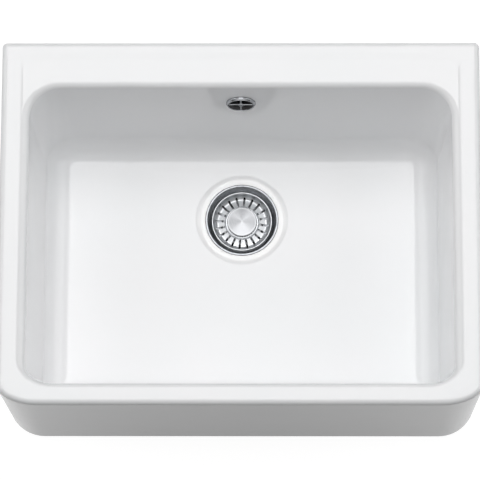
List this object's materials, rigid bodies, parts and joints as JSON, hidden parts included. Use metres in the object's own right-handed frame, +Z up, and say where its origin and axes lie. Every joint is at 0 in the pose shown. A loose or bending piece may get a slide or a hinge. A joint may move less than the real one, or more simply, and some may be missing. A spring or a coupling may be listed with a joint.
{
  "type": "farmhouse apron front sink",
  "caption": "Single bowl apron front sink in white glazed fireclay, with a rear ledge, a basket strainer waste with a lift-out basket and a round overflow piped to the waste.",
  "frame": {"origin": "centre of the basin's flat underside", "axes": "+X to the right seen from the front, +Y to the wall behind, +Z up; the apron faces -Y"},
  "size_m": [0.595, 0.46, 0.34],
  "materials": {
    "fireclay": "white glossy glaze over fireclay",
    "cup_steel": "polished stainless steel sheet",
    "basket_steel": "pressed stainless steel, lightly brushed",
    "knob_steel": "stainless steel with a turned, circular brush",
    "overflow_chrome": "bright chrome plate",
    "bolt_brass": "plain turned brass",
    "white_plastic": "moulded white polypropylene",
    "grey_plastic": "grey ribbed polyethylene",
    "black_rubber": "black moulded rubber"
  },
  "bodies": {
    "sink": {"basin": "fireclay", "strainer_cup": "cup_steel", "cup_seal": "black_rubber", "lower_gasket": "black_rubber", "waste_body": "white_plastic", "clamp_bolt": "bolt_brass", "bolt_washer": "grey_plastic", "overflow_rosette": "overflow_chrome", "overflow_screw": "overflow_chrome", "overflow_gasket": "black_rubber", "overflow_elbow": "white_plastic", "overflow_hose": "grey_plastic", "upper_hose_nut": "white_plastic", "upper_hose_washer": "black_rubber", "lower_hose_nut": "white_plastic", "lower_hose_washer": "black_rubber"},
    "stopper": {"basket_stem": "basket_steel", "stem_clip": "white_plastic", "stopper_plate": "basket_steel", "stopper_seal": "black_rubber", "stem_circlip": "basket_steel"},
    "basket": {"basket": "basket_steel", "knob": "knob_steel"}
  },
  "joints": [
    {"name": "basket_lift", "type": "slide", "parent": "sink", "child": "stopper", "axis": [0, 0, 1], "range_m": [0, 0.265]},
    {"name": "basket_turn", "type": "hinge", "parent": "stopper", "child": "basket", "pos_m": [0, 0.051, 0.01], "axis": [0, 0, 1], "continuous": true}
  ]
}
